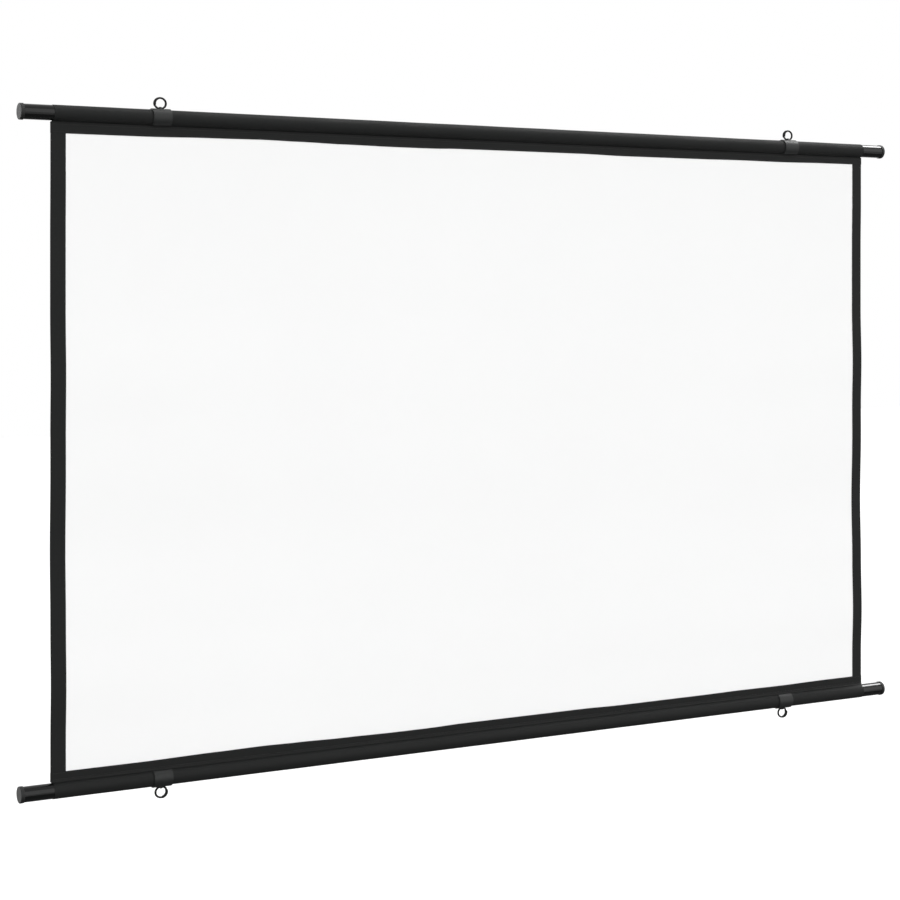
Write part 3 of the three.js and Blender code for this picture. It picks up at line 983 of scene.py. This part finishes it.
class PICTURE_OT_sheet(bpy.types.Operator):
    """Add the white picture sheet with its slack folds"""

    bl_idname = "projection.add_sheet"
    bl_label = "Picture sheet"

    def execute(self, context):
        places = spread(-SHEET_HALF, SHEET_HALF, cloth().columns)
        rows = [[Vector((x, 0, SHEET_BOTTOM)) for x in places]]
        for up in spread(0, 1, cloth().rows):
            row = []
            for x in places:
                z = picture_bottom(x) + (picture_top(x) - picture_bottom(x)) * up
                row.append(Vector((x, fold_at(x, 1 - up), z)))
            rows.append(row)
        rows.append([Vector((x, 0, SHEET_TOP)) for x in places])
        sheet, flat = lay_cloth("picture_cloth", rows, cloth().sheet)
        dress(sheet, "matt_white_fabric", "picture_fabric", "screen", "projection_sheet", FABRIC_SMOOTH)
        gather(sheet)
        return {"FINISHED"}


def border_section(sign):
    """Section of a side border as (x, distance in front of the sheet's middle), its faces outwards."""
    flat = ply_middle()
    fold_x = FABRIC_HALF - cloth().ply / 2 - flat
    inner = abs(PICTURE_ENDS[sign])
    section = [(x, flat) for x in spread(inner, fold_x, BORDER_STEPS)]
    for turned in spread(0, math.pi, BORDER_STEPS)[1:]:
        section.append((fold_x + flat * math.sin(turned), flat * math.cos(turned)))
    section += [(x, -flat) for x in spread(fold_x, inner, BORDER_STEPS)[1:]]
    if sign < 0:
        section.reverse()
    return [(sign * x, y) for x, y in section]


def border_stand(x, z):
    """The share of its full distance from the sheet at which a border stands, less near the hems."""
    to_hem = min(picture_top(x) - z, z - picture_bottom(x)) + cloth().tuck
    pressed = (cloth().sheet + cloth().ply) / 2 / ply_middle()
    return eased(pressed, 1, (to_hem - cloth().pinch) / cloth().pinch)


class SIDE_OT_borders(bpy.types.Operator):
    """Add the two side borders, each a tape folded round the sheet's edge"""

    bl_idname = "projection.add_borders"
    bl_label = "Side borders"

    def execute(self, context):
        for side, sign in SIDES.items():
            section = border_section(sign)
            rows = []
            for up in spread(0, 1, cloth().rows):
                row = []
                for x, front in section:
                    high = picture_top(x) + cloth().tuck
                    low = picture_bottom(x) - cloth().tuck
                    z = low + (high - low) * up
                    down = (picture_top(x) - z) / (picture_top(x) - picture_bottom(x))
                    row.append(Vector((x, fold_at(x, down) - front * border_stand(x, z), z)))
                rows.append(row)
            border, flat = lay_cloth(f"{side}_border_cloth", rows, cloth().ply)
            dress_black(border, "screen", f"{side}_border")
            gather(border)
        return {"FINISHED"}


# The sewing.


def model_stitch():
    """One stitch along X, whose ends dip into the fabric."""
    sizes = sewing()
    half = sizes.stitch / 2
    stitch = round_bar("stitch", sizes.thread / 2, -half / 2, half / 2, STITCH_SIDES)
    edit(stitch)
    for sign in SIDES.values():
        pick_facing(stitch, sign, 0, 0)
        pull((sign * half / 2, 0, 0))
        resize((1, STITCH_END, STITCH_END), (sign * half, 0, 0))
        bpy.ops.transform.translate(value=(0, 0, -STITCH_DIP * sizes.thread))
    stop_editing()
    return stitch


def sew(name, runs, body):
    """Lays stitches along runs, each a list of points and the direction that the stitches face."""
    sizes = sewing()
    stitch = model_stitch()
    shape = [vertex.co.copy() for vertex in stitch.data.vertices]
    sides = [tuple(face.vertices) for face in stitch.data.polygons]
    bpy.data.objects.remove(stitch)
    points, faces = [], []
    for run, outwards in runs:
        travelled = sizes.pitch / 2
        for start, end in zip(run, run[1:]):
            along = end - start
            while travelled < along.length:
                forward = along.normalized()
                across = outwards.cross(forward).normalized()
                up = forward.cross(across)
                centre = start + forward * travelled
                first = len(points)
                points += [centre + forward * p.x + across * p.y + up * p.z for p in shape]
                faces += [tuple(first + i for i in side) for side in sides]
                travelled += sizes.pitch
            travelled -= along.length
    piece = put_mesh(name, points, faces)
    dress(piece, "sewing_thread", "black_fabric", body, smooth_below=70)
    return piece


class SEWING_OT_screen(bpy.types.Operator):
    """Sew the pocket, the hem and the side borders"""

    bl_idname = "projection.add_sewing"
    bl_label = "Sewing"

    def execute(self, context):
        seam_depth = POCKET_RADIUS + cloth().neck + sewing().seam
        reach = FABRIC_HALF - cloth().inset
        places = spread(-reach, reach, SEAM_STEPS)
        band_surface = ply_middle() + cloth().ply / 2 + cloth().pucker / 2
        for level, body in (("upper", "screen"), ("lower", "hem")):
            axis, up, edge_at = BANDS[level]
            edge_seam = [edge_at(x) + up * sewing().margin for x in places]
            pocket_seam = [axis - up * seam_depth] * len(places)
            runs = []
            for facing in (-1, 1):
                for seam in (pocket_seam, edge_seam):
                    run = [Vector((x, facing * band_surface, z)) for x, z in zip(places, seam)]
                    runs.append((run, Vector((0, facing, 0))))
            sew(f"{level}_sewing", runs, body)
        for side, sign in SIDES.items():
            x = PICTURE_ENDS[sign] + sign * sewing().margin
            runs = []
            for facing in (-1, 1):
                run = []
                for down in spread(*SIDE_SEAM, cloth().rows):
                    z = picture_top(x) + (picture_bottom(x) - picture_top(x)) * down
                    surface = ply_middle() * border_stand(x, z) + cloth().ply / 2
                    run.append(Vector((x, fold_at(x, down) + facing * surface, z)))
                runs.append((run, Vector((0, facing, 0))))
            gather(sew(f"{side}_sewing", runs, "screen"))
        return {"FINISHED"}


# The clips and rings.


def clip_inner():
    return POCKET_RADIUS + hardware().clip_gap


def clip_outer():
    return clip_inner() + hardware().clip_wall


def model_clip_shell():
    """A split sleeve round the X axis, with its mouth down and its lips rounded."""
    sizes = hardware()
    middle = clip_inner() + sizes.clip_wall / 2
    start = sizes.clip_mouth / 2
    shell = add(
        bpy.ops.mesh.primitive_plane_add,
        "clip",
        scale=(CLIP_LENGTH, sizes.clip_wall, 1),
        size=1,
        location=(0, -middle * math.sin(start), -middle * math.cos(start)),
        rotation=(-math.pi / 2 - start, 0, 0),
    )
    edit(shell)
    pick_all()
    whole = 2 * (math.pi - start)
    bpy.ops.mesh.spin(steps=CLIP_STEPS, angle=whole, center=(0, 0, 0), axis=(1, 0, 0))
    pick_all()
    bpy.ops.mesh.normals_make_consistent(inside=False)

    def is_lip(edge):
        place = (edge.verts[0].co + edge.verts[1].co) / 2
        turned = math.atan2(abs(place.y), -place.z)
        return abs(edge_run(edge).x) > CLIP_LENGTH / 2 and abs(turned - start) < 0.01

    pick(shell, "EDGE", is_lip)
    bevel_picked(LIP_SHARE * sizes.clip_wall, steps=5)
    stop_editing()
    soften_edges(shell, sizes.clip_edge)
    return shell


def model_window():
    """The slot that is cut through a clip's crown."""
    sizes = hardware()
    half_length, half_width = sizes.window_length / 2, sizes.window_width / 2
    low = (-half_length, -half_width, clip_inner() / 2)
    window = block("window", low, (half_length, half_width, 1.5 * clip_outer()))
    edit(window)
    pick(window, "EDGE", lambda edge: abs(edge_run(edge).z) > half_width)
    bevel_picked(WINDOW_SHARE * half_width, steps=10)
    stop_editing()
    return window


def model_bridge():
    """The small bridge that stands over the window and holds the ring's wire."""
    sizes = hardware()
    half = sizes.bridge_width / 2
    foot = sizes.bridge_foot / 2
    foot_top = math.sqrt(clip_outer() ** 2 - foot**2) - sizes.clip_edge
    room = sizes.wire / 2 + sizes.channel_gap
    crown = room + sizes.bridge_wall
    bridge = block("bridge", (-half, -foot, foot_top - sizes.clip_wall), (half, foot, foot_top))
    edit(bridge)
    pick_facing(bridge, 0, 0, 1)
    height, width = foot_top, foot
    for rise in spread(*map(math.radians, ARCH), ARCH_STEPS):
        top = sizes.wire_rise + crown * math.sin(rise)
        reach = crown * math.cos(rise)
        pull((0, 0, top - height))
        resize((1, reach / width, 1), (0, 0, top))
        height, width = top, reach
    stop_editing()
    soften_edges(bridge, sizes.clip_edge / 2, sharper_than=60)
    over = 2 * half
    channel = round_bar("channel", room, -over, over, CHANNEL_SIDES, sizes.wire_rise)
    join_or_cut(bridge, channel, "DIFFERENCE")
    join_or_cut(bridge, round_bar("bore", clip_inner(), -over, over, BORE_SIDES), "DIFFERENCE")
    return bridge


class CLIPS_OT_screen(bpy.types.Operator):
    """Add the four split clips, with the window and bridge that hold a ring"""

    bl_idname = "projection.add_clips"
    bl_label = "Clips"

    def execute(self, context):
        clip = model_clip_shell()
        join_or_cut(clip, model_window(), "DIFFERENCE")
        join_or_cut(clip, model_bridge(), "UNION")
        looks = {"smooth_below": 40, "bevelled": True}
        place_four(clip, "clip", "moulding", "satin_clip_plastic", "clip_plastic", **looks)
        return {"FINISHED"}


def place_four(model, kind, ending, material, slot, **looks):
    """Sets the four clips or rings. The lower ones are the same pieces turned over."""
    for level, axis in LEVELS.items():
        turn = Matrix.Rotation(0 if level == "top" else math.pi, 4, "Y")
        for side in SIDES:
            x = middle_of(f"{level}_{side}_clip").x
            node = f"{level}_{side}_{kind}"
            piece = copy_of(model, f"{node}_{ending}", Matrix.Translation((x, 0, axis)) @ turn)
            dress(piece, material, slot, node, node, **looks)
    bpy.data.objects.remove(model)


def wire_place(turned):
    """Place of a ring's wire at an angle round the ring's middle, from the bar's direction."""
    sizes = hardware()
    aside = (sizes.wire + sizes.lap_gap) / 2
    once_round = 2 * math.pi + sizes.lap_start
    y = eased(aside, 0, (turned - sizes.lap_end) / sizes.lap_step)
    y += eased(0, -aside, (turned - once_round + sizes.lap_step) / sizes.lap_step)
    x, z = math.cos(turned), math.sin(turned)
    if z < 0:
        x = math.copysign(abs(x) ** sizes.ring_squareness, x)
        z = -(abs(z) ** sizes.ring_squareness)
    half_width = sizes.ring_width / 2 / sizes.ring_stretch
    return Vector((half_width * x, y, sizes.wire_rise + sizes.ring_height / 2 * (1 + z)))


def model_ring():
    """A ring of one length of wire, bent round until its two ends lie side by side."""
    sizes = hardware()
    middle = Vector((0, 0, sizes.wire_rise + sizes.ring_height / 2))
    turned = sizes.lap_start
    place = wire_place(turned)
    ring = disc("ring", sizes.wire / 2, WIRE_SIDES, place, -turned)
    edit(ring)
    pick_all()
    step = (2 * math.pi + sizes.lap_end - sizes.lap_start) / sizes.ring_steps
    for _ in range(sizes.ring_steps):
        bpy.ops.mesh.spin(steps=1, angle=step, center=middle, axis=(0, 1, 0))
        turned += step
        spun = middle + Matrix.Rotation(-step, 3, "Y") @ (place - middle)
        place = wire_place(turned)
        bpy.ops.transform.translate(value=place - spun)
    pick_all()
    resize((sizes.ring_stretch, 1, 1), middle)
    bpy.ops.mesh.normals_make_consistent(inside=False)
    stop_editing()
    soften_edges(ring, sizes.wire / 10, steps=3, sharper_than=60)
    return ring


class RINGS_OT_screen(bpy.types.Operator):
    """Add the four hanging rings"""

    bl_idname = "projection.add_rings"
    bl_label = "Rings"

    def execute(self, context):
        looks = {"smooth_below": 50}
        place_four(model_ring(), "ring", "wire", "coated_ring_wire", "ring_wire", **looks)
        return {"FINISHED"}


# The studio.


def add_camera():
    settings = studio()
    data = bpy.data.cameras.new("camera")
    data.sensor_width = FILM_WIDTH
    data.lens = settings.lens
    data.shift_y = settings.shift
    data.clip_end = SEEN_TO
    camera = put("camera", data)
    camera.location = (settings.camera_x, settings.camera_y, BOTTOM_AXIS + settings.camera_rise)
    camera.rotation_euler = (math.pi / 2, 0, settings.turn)
    bpy.context.scene.camera = camera


def add_light(name):
    """A wide light from far away, which is equally strong all over the screen."""
    data = bpy.data.lights.new(name, "SUN")
    data.energy = getattr(studio(), name)
    data.angle = getattr(studio(), f"{name}_width")
    comes_from = Vector(getattr(studio(), f"{name}_from"))
    light = put(name, data)
    light.location = LIGHTS_AWAY * comes_from
    light.rotation_euler = comes_from.to_track_quat("Z", "Y").to_euler()


def light_world():
    world = bpy.data.worlds.new("studio")
    world.use_nodes = True
    nodes = Nodes(world.node_tree)
    background = nodes.tree.nodes["Background"].inputs
    background["Color"].default_value = (1, 1, 1, 1)
    nodes.feed(background["Strength"], nodes.seen_mix(studio().ambient, 1))
    bpy.context.scene.world = world


def add_card(height):
    """A dark card below the screen. It shows in gloss alone and darkens the tubes' undersides."""
    card = disc("card", studio().card_radius, CARD_SIDES, (studio().card_x, 0, height))
    card.visible_camera = False
    card.visible_diffuse = False
    card.visible_shadow = False
    finish = Finish("card", roughness=0.9, specular=0.1)
    finish.set("Base Color", finishes().card)
    card.data.materials.append(finish.material)


class STUDIO_OT_screen(bpy.types.Operator):
    """Set the camera, the floor and the soft light"""

    bl_idname = "projection.set_studio"
    bl_label = "Studio"

    def execute(self, context):
        context.scene.view_settings.view_transform = "Standard"
        add_camera()
        light_world()
        floor_height = BOTTOM_AXIS - studio().floor_drop
        place = (0, 0, floor_height)
        floor = add(bpy.ops.mesh.primitive_plane_add, "floor", size=FLOOR_SIDE, location=place)
        finish = Finish("floor", roughness=0.9, specular=0.1)
        finish.set("Base Color", finishes().floor)
        finish.set("Emission Color", (1, 1, 1))
        finish.set("Emission Strength", finish.seen_mix(0, studio().floor_glow))
        floor.data.materials.append(finish.material)
        add_card(floor_height + studio().card_rise)
        for name, *_ in LIGHTS:
            add_light(name)
        return {"FINISHED"}


class PANEL_PT_screen(bpy.types.Panel):
    """Sizes, finishes and steps of the projection screen"""

    bl_idname = "PANEL_PT_screen"
    bl_label = "Projection screen"
    bl_space_type = "VIEW_3D"
    bl_region_type = "UI"
    bl_category = "Projection screen"

    def draw(self, context):
        for step in STEPS:
            self.layout.operator(step.bl_idname)
        for group in SETTINGS:
            box = self.layout.box()
            box.label(text=group.replace("_", " ").capitalize())
            settings = getattr(context.scene, group)
            for key in settings.__annotations__:
                box.prop(settings, key)


SETTINGS = {
    "screen_cloth": ClothSizes,
    "screen_hardware": HardwareSizes,
    "screen_sewing": StitchSizes,
    "screen_finishes": Finishes,
    "screen_studio": Studio,
}
STEPS = (
    STUDIO_OT_screen,
    MATERIALS_OT_screen,
    BARS_OT_screen,
    CAPS_OT_screen,
    UPPER_OT_pocket,
    LOWER_OT_pocket,
    LOWER_OT_hem,
    PICTURE_OT_sheet,
    SIDE_OT_borders,
    SEWING_OT_screen,
    CLIPS_OT_screen,
    RINGS_OT_screen,
)


def register():
    for group in (*SETTINGS.values(), *STEPS, PANEL_PT_screen):
        bpy.utils.register_class(group)
    for name, group in SETTINGS.items():
        setattr(bpy.types.Scene, name, bpy.props.PointerProperty(type=group))


def unregister():
    for name in SETTINGS:
        delattr(bpy.types.Scene, name)
    for group in (PANEL_PT_screen, *reversed(STEPS), *reversed(SETTINGS.values())):
        bpy.utils.unregister_class(group)


def main():
    register()
    bpy.ops.projection.set_studio()
    bpy.ops.projection.make_finishes()
    bpy.ops.projection.add_bars()
    bpy.ops.projection.add_caps()
    bpy.ops.projection.add_upper_pocket()
    bpy.ops.projection.add_lower_pocket()
    bpy.ops.projection.add_lower_hem()
    bpy.ops.projection.add_sheet()
    bpy.ops.projection.add_borders()
    bpy.ops.projection.add_sewing()
    bpy.ops.projection.add_clips()
    bpy.ops.projection.add_rings()


if __name__ == "__main__":
    main()
